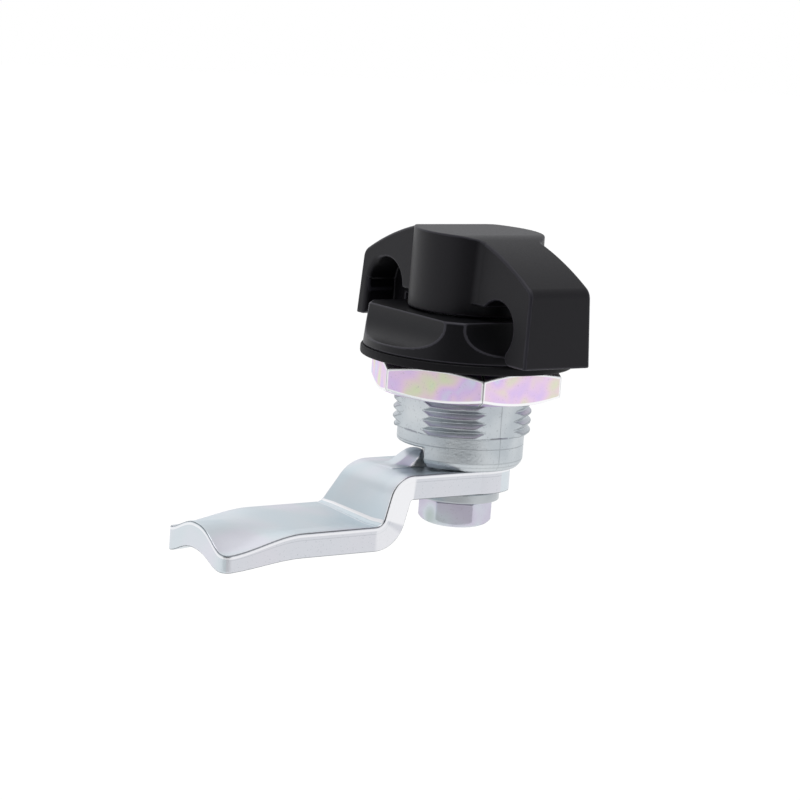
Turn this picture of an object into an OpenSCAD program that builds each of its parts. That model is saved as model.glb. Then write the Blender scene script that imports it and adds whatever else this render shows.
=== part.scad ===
// Quarter-turn cam latch with a wing handle that takes a padlock.
// The origin is on the turning axis at the panel's outer face, +Z towards the handle.
// The wings lie along X and the cam points to -Y, as the latch stands in the photograph.

/* [Panel fixing] */
// outside diameter of the metric fine thread
thread_d = 22; // [18:0.5:30]
// distance across the four flats milled in the thread
flats_w = 19.9; // [16:0.1:28]
// threaded length below the panel's outer face
thread_len = 11.2; // [7:0.1:20]
// distance across the flats of the nut
nut_af = 27; // [24:0.5:41]
// height of the nut
nut_h = 5.2; // [3:0.1:9]
// the nut as photographed stands this far around
nut_turn = 3.3; // [0:0.1:60]
// gap between the nut and the gasket with no panel between them
nut_gap = 0.1; // [0.05:0.05:6]
// the nut's bevels begin this far inside its flats
nut_bevel = 0.2; // [0.1:0.05:1]
// slope of the nut's bevels in degrees
nut_slope = 22; // [15:1:35]
// the gasket stands out this far past the padlock collar
gasket_out = 0.2; // [0:0.05:1]
// thickness of the gasket
gasket_t = 1.4; // [0.8:0.1:3]

/* [Housing] */
// whole length of the housing below the panel's outer face
housing_len = 16.55; // [12:0.05:26]
// the foot's wall is set back this far from the thread's crest
foot_step = 0.9; // [0.3:0.05:2]
// height of the bevel at the foot's lower edge
foot_bevel = 1; // [0.3:0.05:2]
// diameter of the flange hidden in the collar
flange_d = 26.4; // [24:0.1:30]
// thickness of that flange
flange_t = 1.8; // [1:0.1:3]
// wall of the bearing neck above the flange
neck_wall = 2; // [1.2:0.1:4]
// height of the notch in the foot that the cam's stop swings in
notch_h = 3.5; // [2.6:0.1:5]
// the neck ends this far below the top of the padlock collar
thrust_depth = 1.8; // [1:0.1:3]

/* [Padlock collar] */
// diameter of the collar at the gasket
collar_d = 32.8; // [30:0.1:44]
// diameter of the collar at its top
collar_top_d = 31.8; // [28:0.1:43]
// height of the collar's top above the panel
collar_top = 7.75; // [6:0.05:12]
// bevel round the collar's top and bottom edges
collar_bevel = 0.35; // [0.1:0.05:0.8]
// radius of the shackle grooves
groove_r = 4.4; // [2.5:0.05:5]
// distance of the grooves' axes from the turning axis
groove_out = 16.85; // [15:0.05:22]
// height of the grooves' axes below the collar's top
groove_drop = 0.55; // [0:0.05:2]

/* [Handle] */
// gap between the collar's top and the handle's boss
handle_gap = 0.3; // [0.2:0.05:1]
// height of the handle's boss
handle_h = 12.45; // [10:0.05:20]
// length over both wings at their feet
wing_len = 45; // [41:0.1:64]
// thickness of the wings
wing_w = 12.2; // [8:0.1:16]
// draft of the wings' end faces in degrees
wing_draft = 2.4; // [0:0.1:6]
// diameter of the boss at its foot
boss_d = 20.9; // [18:0.1:28]
// the boss gets narrower by this much at its top
boss_taper = 0.4; // [0:0.1:2]
// radius between the boss and the wings
boss_fillet = 2; // [1:0.1:4]
// height of the space under the wings, above the collar
wing_lift = 2.25; // [1:0.05:4]
// half length of the flat crown
crown_half = 5.5; // [3:0.1:10]
// radius where the crown turns down
crown_r = 12.3; // [4:0.1:16]
// slope of the wings beside the crown in degrees
slope_start = 15.2; // [6:0.1:20]
// slope of the wings at their knees in degrees
slope_end = 31.6; // [25:0.1:45]
// radius of the knees
knee_r = 2; // [0.5:0.1:3]
// radius of the shackle eye in the longer leg
eye_r = 4.4; // [2.5:0.05:5]
// distance of that eye from the turning axis
eye_out = 14.6; // [13:0.05:20]
// the eye's centre is this far below the collar's top
eye_drop = 0.7; // [0:0.05:2]
// the longer leg's hook stands this far into the eye
hook_in = 1.3; // [0.3:0.05:2]
// radius of the arch in the shorter leg
arch_r = 4.8; // [3:0.05:5.5]
// distance of the arch from the turning axis
arch_out = 15.2; // [13.5:0.05:20]
// height of the arch's centre above the collar's top
arch_rise = 1.7; // [0:0.05:3]
// thickness of the rib that closes the arch in its middle
arch_rib = 1.2; // [0.8:0.1:3]
// the longer leg ends this far above the gasket
leg_gap = 0.95; // [0.3:0.05:2]
// the shorter leg ends this much higher
leg_less = 1.85; // [0:0.05:3]
// radius of the legs' lower edges
leg_round = 1.2; // [0.2:0.1:2]

/* [Spindle] */
// diameter of the spindle in the housing
spindle_d = 12; // [10:0.1:14]
// width of the square that drives the cam
drive_w = 8; // [6:0.1:8.4]
// width of the square head held in the handle
head_w = 10; // [7:0.1:12]
// height of that head
head_h = 7; // [4:0.1:9]
// depth of the tapped hole for the cam's screw
tap_depth = 13; // [9:0.5:14]
// distance of the ring's groove below the panel's face
ring_z = 3; // [1.5:0.1:3.5]
// thickness of the sealing ring
ring_t = 1.6; // [1:0.1:2.4]

/* [Cam] */
// width of the cam
cam_w = 16; // [12:0.1:18]
// thickness of the cam
cam_t = 3.9; // [2.5:0.1:4]
// length from the turning axis to the tip
cam_len = 48; // [43:0.5:70]
// the cam's arm lies this much lower than its head
cam_offset = 7.4; // [6.8:0.1:12]
// distance from the turning axis to the first bend
bend_out = 14.2; // [13.4:0.1:18]
// angle of the step in degrees
bend_angle = 65; // [50:1:80]
// inside radius of the first bend
bend_in_1 = 0.7; // [0.4:0.1:2]
// inside radius of the second bend
bend_in_2 = 2; // [0.4:0.1:2.5]
// the round head stands out this far past the arm's sides
head_out = 0.15; // [0.05:0.05:1]
// radius of the tip's corners in plan
tip_r = 1.7; // [0.5:0.1:4]
// length of the arched tip
tip_len = 13; // [8:0.5:16]
// rise of the arch's middle at the tip
tip_rise = 0.9; // [0:0.1:2]
// drop of the arch's edges at the tip
tip_drop = 2; // [0:0.1:3]
// the pressed-up stop reaches this far to one side of the cam's middle line
stop_near = 1.5; // [1:0.1:3]
// and this far to the other side
stop_far = 3.9; // [2:0.1:5]
// height of the stop
stop_h = 2.1; // [1.2:0.1:2.4]
// length of the stop's flat top
stop_len = 2.9; // [1:0.1:4]

/* [Cam screw] */
// thread diameter of the screw
screw_d = 6; // [4:0.5:7]
// length of the screw below its head
screw_len = 12; // [8:0.5:13]
// distance across the flats of its head
screw_af = 10; // [8:0.5:13]
// height of its head
screw_head_h = 4; // [2.5:0.1:6]
// turn of the head as photographed
screw_turn = 52.4; // [0:0.1:60]
// diameter of the spring washer
washer_d = 13.8; // [12:0.1:18]
// thickness of the washer's sheet
washer_t = 1.5; // [1:0.1:2.5]
// the washer's cone stands this much higher
washer_cone = 0.2; // [0:0.05:0.6]

/* [Fits] */
// radial clearance of a turning or screwed fit
run_fit = 0.05; // [0.02:0.01:0.1]
// gap between pieces that pass each other
pass_gap = 0.3; // [0.2:0.05:0.6]
// room between the stop and the wall of its notch as photographed
stop_play = 1.75; // [0.2:0.05:2.5]
// gap between the stop and the notch's other wall after a quarter turn
stop_gap = 0.55; // [0.2:0.05:1]

/* [Hidden] */
$fn = 64;
far = 100;
thread_r = thread_d / 2;
foot_r = thread_r - foot_step;
gasket_r = collar_d / 2 + gasket_out;
spindle_r = spindle_d / 2;
bore_r = spindle_r + run_fit;
neck_r = spindle_r + neck_wall;
flange_top = gasket_t + flange_t;
thrust_z = collar_top - thrust_depth;
handle_z = collar_top + handle_gap;
handle_top = handle_z + handle_h;
web_z = collar_top + wing_lift;
half_len = wing_len / 2;
half_w = wing_w / 2;
boss_top_r = (boss_d - boss_taper) / 2;
groove_z = collar_top - groove_drop;
eye_z = collar_top - eye_drop;
arch_z = collar_top + arch_rise;
hook_x = eye_out + eye_r - hook_in;
long_leg_z = gasket_t + leg_gap;
short_leg_z = long_leg_z + leg_less;
cam_top = -(housing_len + pass_gap);
cam_low = cam_top - cam_t;
arm_top = cam_top - cam_offset;
washer_low = cam_low - washer_t - washer_cone;
screw_low = washer_low - screw_head_h;
screw_r = screw_d / 2;
stop_in = bore_r + 3 * pass_gap;
notch_x = stop_near + stop_play;
notch_y = stop_far + stop_gap;
swing_r = collar_d / 2 + pass_gap;

// points of an arc about a centre, from one angle to another
function arc(c, r, a, b, n = 8) = [for (i = [0 : n]) c + r * [cos(a + (b - a) * i / n), sin(a + (b - a) * i / n)]];

// outline of half the handle's crown, wing and end face, from the top's middle to the foot
crown_c = [crown_half, handle_top - crown_r];
slope_p = crown_c + crown_r * [sin(slope_start), cos(slope_start)];
draft_run = tan(wing_draft);
slope_sum = half_len - slope_p[0] + knee_r * (sin(slope_end) - 1 / cos(wing_draft))
  - (slope_p[1] - knee_r * cos(slope_end) - long_leg_z) * draft_run;
slope_r = slope_sum / (sin(slope_end) - sin(slope_start) - (cos(slope_start) - cos(slope_end)) * draft_run);
slope_c = slope_p - slope_r * [sin(slope_start), cos(slope_start)];
knee_m = slope_c + (slope_r - knee_r) * [sin(slope_end), cos(slope_end)];
half_side = concat([[0, handle_top]], arc(crown_c, crown_r, 90, 90 - slope_start, 4),
  arc(slope_c, slope_r, 90 - slope_start, 90 - slope_end, 6), arc(knee_m, knee_r, 90 - slope_end, wing_draft, 6));

// side view of the whole handle above its feet
module side_view() {
  for (s = [0, 1])
    mirror([s, 0])
      polygon(concat(half_side, [[half_len, long_leg_z], [0, long_leg_z]]));
}

// turns an outline drawn in X and Z into a bar along Y
module along_y(w) {
  rotate([90, 0, 0])
    linear_extrude(height = w, center = true)
      children();
}

// the wings from above, with the round between each wing and the boss
module plan_view() {
  fx = sqrt(pow(boss_top_r + boss_fillet, 2) - pow(half_w + boss_fillet, 2));
  circle(r = boss_top_r - 0.02);
  square([wing_len + 2, wing_w], center = true);
  for (a = [0, 1], b = [0, 1])
    mirror([a, 0])
      mirror([0, b])
        difference() {
          polygon([[0, 0], [fx, 0], [fx, half_w + boss_fillet]]);
          translate([fx, half_w + boss_fillet])
            circle(r = boss_fillet + 0.03);
        }
}

// space under the wings that goes right through: the collar turns in it, and a shackle passes the longer leg
module under_view() {
  translate([-swing_r, -1])
    square([swing_r + hook_x, handle_z + 1]);
  translate([0, -1])
    square([hook_x, web_z + 1]);
  translate([eye_out, eye_z])
    circle(r = eye_r);
  translate([-half_len - 5, -1])
    square([half_len, short_leg_z + 1]);
  translate([hook_x, long_leg_z])
    difference() {
      translate([-0.1, -0.1])
        square(leg_round + 0.1);
      translate([leg_round, leg_round])
        circle(r = leg_round);
    }
}

// the shorter leg's arch, which a rib in its middle closes
module arch_view() {
  translate([-arch_out - arch_r, -1])
    square([arch_out + arch_r, web_z + 1]);
  translate([-arch_out, arch_z])
    circle(r = arch_r);
  translate([-arch_out - arch_r, web_z - 1])
    square([arch_r, max(arch_z - web_z + 1, 0.1)]);
}

module wing_handle() {
  color([0.07, 0.07, 0.08])
    difference() {
      union() {
        difference() {
          intersection() {
            along_y(boss_d + 2)
              side_view();
            linear_extrude(height = handle_top + 1)
              plan_view();
          }
          along_y(boss_d + 4)
            under_view();
          for (side = [-1, 1])
            translate([0, side * (half_w + arch_rib) / 2 + side * 0.5, 0])
              along_y(half_w - arch_rib / 2 + 1)
                arch_view();
        }
        intersection() {
          translate([0, 0, handle_z])
            cylinder(r1 = boss_d / 2, r2 = boss_top_r, h = handle_h);
          along_y(boss_d + 2)
            side_view();
        }
      }
      translate([0, 0, handle_z - 1 + (head_h + pass_gap + 1) / 2])
        cube([head_w + 2 * run_fit, head_w + 2 * run_fit, head_h + pass_gap + 1], center = true);
    }
}

module padlock_collar() {
  h = collar_top - gasket_t;
  r_low = collar_d / 2;
  r_top = collar_top_d / 2;
  color([0.06, 0.06, 0.07])
    difference() {
      translate([0, 0, gasket_t])
        rotate_extrude()
          polygon([[0, 0], [r_low - collar_bevel, 0], [r_low, collar_bevel], [r_top, h - collar_bevel],
            [r_top - collar_bevel, h], [0, h]]);
      for (a = [0 : 90 : 270])
        rotate([0, 0, a])
          translate([groove_out, 0, groove_z])
            rotate([90, 0, 0])
              cylinder(r = groove_r, h = collar_d, center = true);
      translate([0, 0, gasket_t - 1])
        cylinder(d = flange_d + 2 * run_fit, h = flange_t + run_fit + 1);
      cylinder(r = neck_r + run_fit, h = far);
    }
}

module flange_gasket() {
  color([0.1, 0.1, 0.1])
    difference() {
      cylinder(r = gasket_r, h = gasket_t);
      translate([0, 0, -1])
        cylinder(r = thread_r + run_fit, h = gasket_t + 2);
    }
}

module housing() {
  color([0.66, 0.67, 0.68])
    difference() {
      union() {
        translate([0, 0, gasket_t])
          cylinder(d = flange_d, h = flange_t);
        translate([0, 0, gasket_t])
          cylinder(r = neck_r, h = thrust_z - gasket_t);
        intersection() {
          translate([0, 0, -thread_len])
            cylinder(r = thread_r, h = thread_len + gasket_t + 0.1);
          translate([0, 0, -thread_len + (thread_len + gasket_t) / 2])
            cube([flats_w, flats_w, thread_len + gasket_t + 2], center = true);
        }
        translate([0, 0, -housing_len])
          rotate_extrude()
            polygon([[0, 0], [foot_r - foot_bevel * 0.8, 0], [foot_r, foot_bevel],
              [foot_r, housing_len - thread_len + 0.1], [0, housing_len - thread_len + 0.1]]);
      }
      translate([0, 0, -far / 2])
        cylinder(r = bore_r, h = far);
      translate([-far + notch_x, -far + notch_y, -housing_len - 1])
        cube([far, far, notch_h + 1]);
    }
}

module hex_nut() {
  corner_r = nut_af / 2 / cos(30);
  bevel_h = (corner_r - nut_af / 2 + nut_bevel) * tan(nut_slope);
  color([0.78, 0.75, 0.8])
    translate([0, 0, -nut_gap - nut_h])
      rotate([0, 0, nut_turn])
        difference() {
          intersection() {
            rotate([0, 0, 30])
              cylinder(r = corner_r, h = nut_h, $fn = 6);
            rotate_extrude()
              polygon([[0, 0], [nut_af / 2 - nut_bevel, 0], [corner_r, bevel_h], [corner_r, nut_h - bevel_h],
                [nut_af / 2 - nut_bevel, nut_h], [0, nut_h]]);
          }
          translate([0, 0, -1])
            cylinder(r = thread_r + run_fit, h = nut_h + 2);
        }
}

module spindle() {
  color([0.55, 0.56, 0.58])
    difference() {
      union() {
        translate([0, 0, handle_z + head_h / 2 - 0.5])
          cube([head_w, head_w, head_h + 1], center = true);
        translate([0, 0, thrust_z + pass_gap])
          cylinder(r = neck_r - pass_gap, h = handle_z - thrust_z - pass_gap);
        translate([0, 0, cam_top])
          cylinder(r = spindle_r, h = handle_z - cam_top);
        translate([0, 0, (cam_top + cam_low + pass_gap) / 2])
          cube([drive_w, drive_w, cam_t - pass_gap], center = true);
      }
      translate([0, 0, -ring_z - ring_t * 0.7])
        difference() {
          cylinder(r = spindle_r + 1, h = ring_t * 1.4);
          translate([0, 0, -1])
            cylinder(r = spindle_r - ring_t - run_fit, h = ring_t * 1.4 + 2);
        }
      translate([0, 0, cam_low])
        cylinder(r = screw_r + run_fit, h = tap_depth + pass_gap);
    }
}

module spindle_ring() {
  color([0.05, 0.05, 0.05])
    translate([0, 0, -ring_z])
      rotate_extrude()
        translate([spindle_r - ring_t / 2, 0])
          circle(d = ring_t);
}

// side view of the bent plate, drawn from the head to the arm
bend_r1 = bend_in_1 + cam_t / 2;
bend_r2 = bend_in_2 + cam_t / 2;
step_run = (cam_offset - (bend_r1 + bend_r2) * (1 - cos(bend_angle))) / sin(bend_angle);
bend_c1 = [-bend_out, cam_top - cam_t / 2 - bend_r1];
bend_end1 = bend_c1 + bend_r1 * [-sin(bend_angle), cos(bend_angle)];
bend_start2 = bend_end1 + step_run * [-cos(bend_angle), -sin(bend_angle)];
bend_c2 = bend_start2 + bend_r2 * [-sin(bend_angle), cos(bend_angle)];
arm_y = bend_c2[0];

function plate_side(s) = concat(arc(bend_c1, bend_r1 + s * cam_t / 2, 90, 90 + bend_angle, 8),
  arc(bend_c2, bend_r2 - s * cam_t / 2, -90 + bend_angle, -90, 8));
function reversed(v) = [for (i = [len(v) - 1 : -1 : 0]) v[i]];

// the tip's arch: flat where it begins, then its middle rises and its edges drop
tip_start = -cam_len + tip_len;
function ease(t) = t * t * (3 - 2 * t);
function tip_lift(u, t) = ease(t) * (tip_rise - (tip_rise + tip_drop) * (1 - cos(180 * u)) / 2);
tip_nx = 16;
tip_ny = 9;
function tip_point(i, j, low) = let (u = 2 * i / tip_nx - 1, t = j / tip_ny)
  [u * cam_w / 2, tip_start + 0.5 - (tip_len + 0.5) * t, arm_top - low * cam_t
    + tip_lift(u, max(0, (t * (tip_len + 0.5) - 0.5) / tip_len)) * (1 - low * 0.35)];
function tip_index(i, j, low) = low * (tip_nx + 1) * (tip_ny + 1) + j * (tip_nx + 1) + i;

module arched_tip() {
  points = [for (low = [0, 1], j = [0 : tip_ny], i = [0 : tip_nx]) tip_point(i, j, low)];
  skin = [for (low = [0, 1], j = [0 : tip_ny - 1], i = [0 : tip_nx - 1], k = [0, 1])
    let (q = [tip_index(i, j, low), tip_index(i + 1, j, low), tip_index(i + 1, j + 1, low), tip_index(i, j + 1, low)],
      f = k == 0 ? [q[0], q[1], q[2]] : [q[0], q[2], q[3]])
    low == 0 ? f : reversed(f)];
  sides = [for (s = [0, 1], j = [0 : tip_ny - 1], k = [0, 1])
    let (i = s * tip_nx, q = [tip_index(i, j, 0), tip_index(i, j + 1, 0), tip_index(i, j + 1, 1), tip_index(i, j, 1)],
      f = k == 0 ? [q[0], q[1], q[2]] : [q[0], q[2], q[3]])
    s == 0 ? f : reversed(f)];
  ends = [for (e = [0, 1], i = [0 : tip_nx - 1], k = [0, 1])
    let (j = e * tip_ny, q = [tip_index(i, j, 0), tip_index(i + 1, j, 0), tip_index(i + 1, j, 1), tip_index(i, j, 1)],
      f = k == 0 ? [q[0], q[1], q[2]] : [q[0], q[2], q[3]])
    e == 0 ? reversed(f) : f];
  polyhedron(points = points, faces = concat(skin, sides, ends), convexity = 4);
}

// the cam from above: a round head on a straight arm with rounded corners at the tip
module cam_plan() {
  circle(r = cam_w / 2 + head_out);
  translate([-cam_w / 2, -cam_len + tip_r])
    square([cam_w, cam_len - tip_r]);
  translate([-cam_w / 2 + tip_r, -cam_len])
    square([cam_w - 2 * tip_r, tip_r + 1]);
  for (s = [-1, 1])
    translate([s * (cam_w / 2 - tip_r), -cam_len + tip_r])
      circle(r = tip_r);
}

module cam() {
  head_y = cam_w / 2 + head_out + 1;
  side = concat([[head_y, cam_top]], plate_side(1), [[tip_start, arm_top], [tip_start, arm_top - cam_t]],
    reversed(plate_side(-1)), [[head_y, cam_low]]);
  stop = [[-stop_in, cam_top - 1], [-stop_in - 0.3, cam_top + stop_h], [-stop_in - 0.3 - stop_len, cam_top + stop_h],
    [-bend_out - 1.2, cam_top - 0.2], [-bend_out, cam_top - 1]];
  color([0.72, 0.74, 0.76])
    difference() {
      union() {
        intersection() {
          union() {
            rotate([90, 0, 90])
              linear_extrude(height = cam_w + 4, center = true)
                polygon(side);
            arched_tip();
          }
          translate([0, 0, cam_low - cam_offset - tip_drop - 1])
            linear_extrude(height = cam_t + cam_offset + tip_drop + tip_rise + 2)
              cam_plan();
        }
        translate([-stop_far, 0, 0])
          rotate([90, 0, 90])
            linear_extrude(height = stop_far + stop_near)
              polygon(stop);
      }
      translate([0, 0, cam_top - cam_t / 2])
        cube([drive_w + 2 * run_fit, drive_w + 2 * run_fit, cam_t + 2], center = true);
    }
}

module spring_washer() {
  r_in = screw_r + 0.2;
  r_out = washer_d / 2;
  color([0.7, 0.7, 0.72])
    translate([0, 0, washer_low])
      rotate_extrude()
        polygon([[r_in, 0], [r_out, washer_cone], [r_out, washer_cone + washer_t], [r_in, washer_t]]);
}

module cam_screw() {
  corner_r = screw_af / 2 / cos(30);
  color([0.74, 0.72, 0.76])
    union() {
      intersection() {
        translate([0, 0, screw_low])
          rotate([0, 0, screw_turn])
            cylinder(r = corner_r, h = screw_head_h, $fn = 6);
        translate([0, 0, screw_low])
          rotate_extrude()
            polygon(concat([[0, 0]], arc([screw_af / 2 - screw_head_h * 0.4, screw_head_h * 0.5],
              screw_head_h * 0.5, -90, -10, 6), [[corner_r + 0.1, screw_head_h * 0.6], [corner_r + 0.1, screw_head_h],
              [0, screw_head_h]]));
      }
      translate([0, 0, washer_low - 0.1])
        cylinder(r = screw_r, h = screw_len + 0.1);
    }
}

wing_handle();
padlock_collar();
flange_gasket();
housing();
hex_nut();
spindle();
spindle_ring();
cam();
spring_washer();
cam_screw();
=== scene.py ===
# Looks of the quarter-turn cam latch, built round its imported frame.
# Shapes are worked out in millimetres, with the turning axis on Z and the panel's outer face at z = 0.
import math

import bpy
import numpy as np
from mathutils import Matrix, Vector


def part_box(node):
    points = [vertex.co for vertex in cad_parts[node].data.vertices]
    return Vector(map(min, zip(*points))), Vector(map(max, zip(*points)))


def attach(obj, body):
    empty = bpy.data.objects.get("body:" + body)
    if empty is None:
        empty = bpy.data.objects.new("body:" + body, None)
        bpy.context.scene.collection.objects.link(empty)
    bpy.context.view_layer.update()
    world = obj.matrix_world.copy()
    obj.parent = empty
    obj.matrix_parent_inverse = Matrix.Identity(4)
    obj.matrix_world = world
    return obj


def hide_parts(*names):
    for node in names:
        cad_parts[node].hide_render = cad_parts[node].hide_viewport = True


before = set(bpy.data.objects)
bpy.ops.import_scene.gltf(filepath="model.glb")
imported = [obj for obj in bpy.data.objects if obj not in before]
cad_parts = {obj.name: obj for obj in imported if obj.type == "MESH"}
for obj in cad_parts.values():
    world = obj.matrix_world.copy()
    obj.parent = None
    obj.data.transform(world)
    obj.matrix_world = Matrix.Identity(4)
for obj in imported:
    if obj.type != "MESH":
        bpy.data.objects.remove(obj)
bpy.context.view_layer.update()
mm = 0.001
print("frame loaded:", len(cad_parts), "nodes")


def boxMm(node):
    # lowest and highest corner of a node, in millimetres
    return [np.array(corner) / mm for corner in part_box(node)]


handleBox, collarBox, gasketBox = boxMm("wing_handle"), boxMm("padlock_collar"), boxMm("flange_gasket")
housingBox, nutBox, camBox = boxMm("housing"), boxMm("hex_nut"), boxMm("cam")
washerBox, screwBox = boxMm("spring_washer"), boxMm("cam_screw")


# Colour, node and material helpers

def hexColour(text):
    # an sRGB hex value turned linear, with alpha 1
    share = np.array([int(text[i:i + 2], 16) for i in (1, 3, 5)]) / 255
    linear = np.where(share <= 0.04045, share / 12.92, ((share + 0.055) / 1.055) ** 2.4)
    return (*linear.tolist(), 1.0)


def addNode(tree, kind, settings=None, links=None):
    # adds one node; a setting is a property, a ramp's stops or an input's value, a link feeds an input
    # from an output or gives it a value
    node = tree.nodes.new("ShaderNode" + kind)
    for key, value in (settings or {}).items():
        if key == "stops":
            for i, (place, colour) in enumerate(value):
                stop = node.color_ramp.elements[i] if i < 2 else node.color_ramp.elements.new(place)
                stop.position, stop.color = place, colour
        elif isinstance(key, str) and hasattr(node, key):
            setattr(node, key, value)
        else:
            node.inputs[key].default_value = value
    for key, source in (links or {}).items():
        if isinstance(source, bpy.types.NodeSocket):
            tree.links.new(source, node.inputs[key])
        else:
            node.inputs[key].default_value = source
    return node


def perMm(size):
    # noise scale on Object coordinates, which are metres, for features of this many millimetres
    return 1 / (size * mm)


def newMaterial(name):
    material = bpy.data.materials.new(name)
    material.use_nodes = True
    material.node_tree.nodes.clear()
    return material, material.node_tree


# Shape helpers. A field is below zero inside its solid and close to the distance near its surface.

def meet(a, b, r):
    # both solids at once, with the outer corner between them rounded by r
    return np.minimum(np.maximum(a, b), -r) + np.hypot(np.maximum(a + r, 0), np.maximum(b + r, 0))


def join(a, b, r):
    # either solid, with the inner corner between them filled by a round of r
    return np.maximum(np.minimum(a, b), r) - np.hypot(np.maximum(r - a, 0), np.maximum(r - b, 0))


def smooth(t):
    t = np.clip(t, 0, 1)
    return t * t * (3 - 2 * t)


def span(low, high, step):
    # grid lines that reach a little past both ends
    count = int(math.ceil((high - low) / step)) + 4
    middle = (low + high) / 2
    return middle + (np.arange(count + 1) - count / 2) * step


def fieldSlope(field, points, h):
    # gradient of the field by central differences, one row for each point
    slope = np.empty_like(points)
    for k in range(3):
        ahead, behind = points.copy(), points.copy()
        ahead[:, k] += h
        behind[:, k] -= h
        slope[:, k] = (field(*ahead.T) - field(*behind.T)) / (2 * h)
    return slope


def fieldSurface(field, axes):
    # the field's zero surface: one point in each grid cell that it passes, at the mean of the crossings
    # on the cell's edges, and one face round each crossed edge; the points are then drawn onto the surface
    x, y, z = axes
    values = np.broadcast_to(field(x[:, None, None], y[None, :, None], z[None, None, :]),
                             (len(x), len(y), len(z)))
    cells = np.array(values.shape) - 1
    ids, places, faces = [], [], []
    for k in range(3):
        lower = [slice(None)] * 3
        upper = [slice(None)] * 3
        lower[k], upper[k] = slice(None, -1), slice(1, None)
        a, b = values[tuple(lower)], values[tuple(upper)]
        edge = np.argwhere((a < 0) != (b < 0))
        va, vb = a[tuple(edge.T)], b[tuple(edge.T)]
        place = np.stack([axes[i][edge[:, i]] for i in range(3)], axis=1)
        place[:, k] += (axes[k][edge[:, k] + 1] - axes[k][edge[:, k]]) * va / (va - vb)
        ring = []
        for p, q in ((1, 1), (0, 1), (0, 0), (1, 0)):
            cell = edge.copy()
            cell[:, (k + 1) % 3] -= p
            cell[:, (k + 2) % 3] -= q
            ring.append(np.ravel_multi_index(cell.T, cells))
        ring = np.stack(ring, axis=1)
        ids.append(ring.ravel())
        places.append(np.repeat(place, 4, axis=0))
        faces.append(np.where((va < 0)[:, None], ring, ring[:, ::-1]))
    ids, places = np.concatenate(ids), np.concatenate(places)
    used, index = np.unique(ids, return_inverse=True)
    count = np.bincount(index)
    points = np.stack([np.bincount(index, weights=places[:, k]) / count for k in range(3)], axis=1)
    faces = np.searchsorted(used, np.concatenate(faces))
    reach = 0.5 * min(a[1] - a[0] for a in axes)
    for _ in range(4):
        slope = fieldSlope(field, points, 0.01)
        move = slope * (field(*points.T) / np.maximum((slope ** 2).sum(1), 0.05))[:, None]
        length = np.linalg.norm(move, axis=1)[:, None]
        points = points - move * np.minimum(1, reach / np.maximum(length, 1e-9))
    normals = fieldSlope(field, points, 0.03)
    normals /= np.maximum(np.linalg.norm(normals, axis=1)[:, None], 1e-9)
    return points, faces, normals


def edgeBend(field, points, h):
    # how sharply the surface bends at each point, in 1/mm, above zero on outer edges
    total = -6 * field(*points.T)
    for k in range(3):
        for sign in (-1, 1):
            beside = points.copy()
            beside[:, k] += sign * h
            total = total + field(*beside.T)
    return total / h ** 2


def makeMesh(name, points, faces, normals=None, attributes=None):
    # a smooth mesh from points in millimetres and faces of four points each
    mesh = bpy.data.meshes.new(name)
    mesh.vertices.add(len(points))
    mesh.vertices.foreach_set("co", (points * mm).astype(np.float32).ravel())
    mesh.loops.add(faces.size)
    mesh.loops.foreach_set("vertex_index", faces.astype(np.int32).ravel())
    mesh.polygons.add(len(faces))
    mesh.polygons.foreach_set("loop_start", np.arange(0, faces.size, 4, dtype=np.int32))
    mesh.polygons.foreach_set("use_smooth", np.ones(len(faces), bool))
    for key, value in (attributes or {}).items():
        layer = mesh.attributes.new(key, "FLOAT", "POINT")
        layer.data.foreach_set("value", value.astype(np.float32))
    mesh.update(calc_edges=True)
    mesh.validate()
    if normals is not None:
        mesh.normals_split_custom_set_from_vertices(normals.astype(np.float32))
    piece = bpy.data.objects.new(name, mesh)
    bpy.context.scene.collection.objects.link(piece)
    return piece


def fitPiece(piece, material, body, node):
    # gives a new piece its material and puts it in its node's place
    piece.data.materials.append(material)
    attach(piece, body)
    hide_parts(node)
    print("made", piece.name, len(piece.data.polygons), "faces")


def softCorners(points, rounds, steps=4):
    # rounds the corners of closed outlines, an array of turns x corners x 2, each by its own length,
    # with a quadratic curve, and adds a point close on either side, so that flats stay flat when shaded
    made = []
    for k, r in enumerate(rounds):
        here = points[:, k]
        back = points[:, k - 1] - here
        ahead = points[:, (k + 1) % points.shape[1]] - here
        lengthBack = np.maximum(np.linalg.norm(back, axis=1), 1e-9)[:, None]
        lengthAhead = np.maximum(np.linalg.norm(ahead, axis=1), 1e-9)[:, None]
        fromBack = back / lengthBack * np.minimum(r, 0.3 * lengthBack)
        toAhead = ahead / lengthAhead * np.minimum(r, 0.3 * lengthAhead)
        made.append(here + 1.5 * fromBack)
        for t in np.linspace(0, 1, steps + 1):
            made.append(here + fromBack * (1 - t) ** 2 + toAhead * t ** 2)
        made.append(here + 1.5 * toAhead)
    return np.stack(made, axis=1)


def turnedSurface(angles, outline):
    # an outline of radius and height for each angle, carried round the axis and closed both ways
    radius, height = outline[..., 0], outline[..., 1]
    points = np.stack([radius * np.cos(angles)[:, None], radius * np.sin(angles)[:, None], height], axis=2)
    turns, places = radius.shape
    i, j = np.meshgrid(np.arange(turns), np.arange(places), indexing="ij")
    following, beside = (i + 1) % turns, (j + 1) % places
    faces = np.stack([i * places + j, following * places + j,
                      following * places + beside, i * places + beside], axis=2)
    return points.reshape(-1, 3), faces.reshape(-1, 4)


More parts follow.
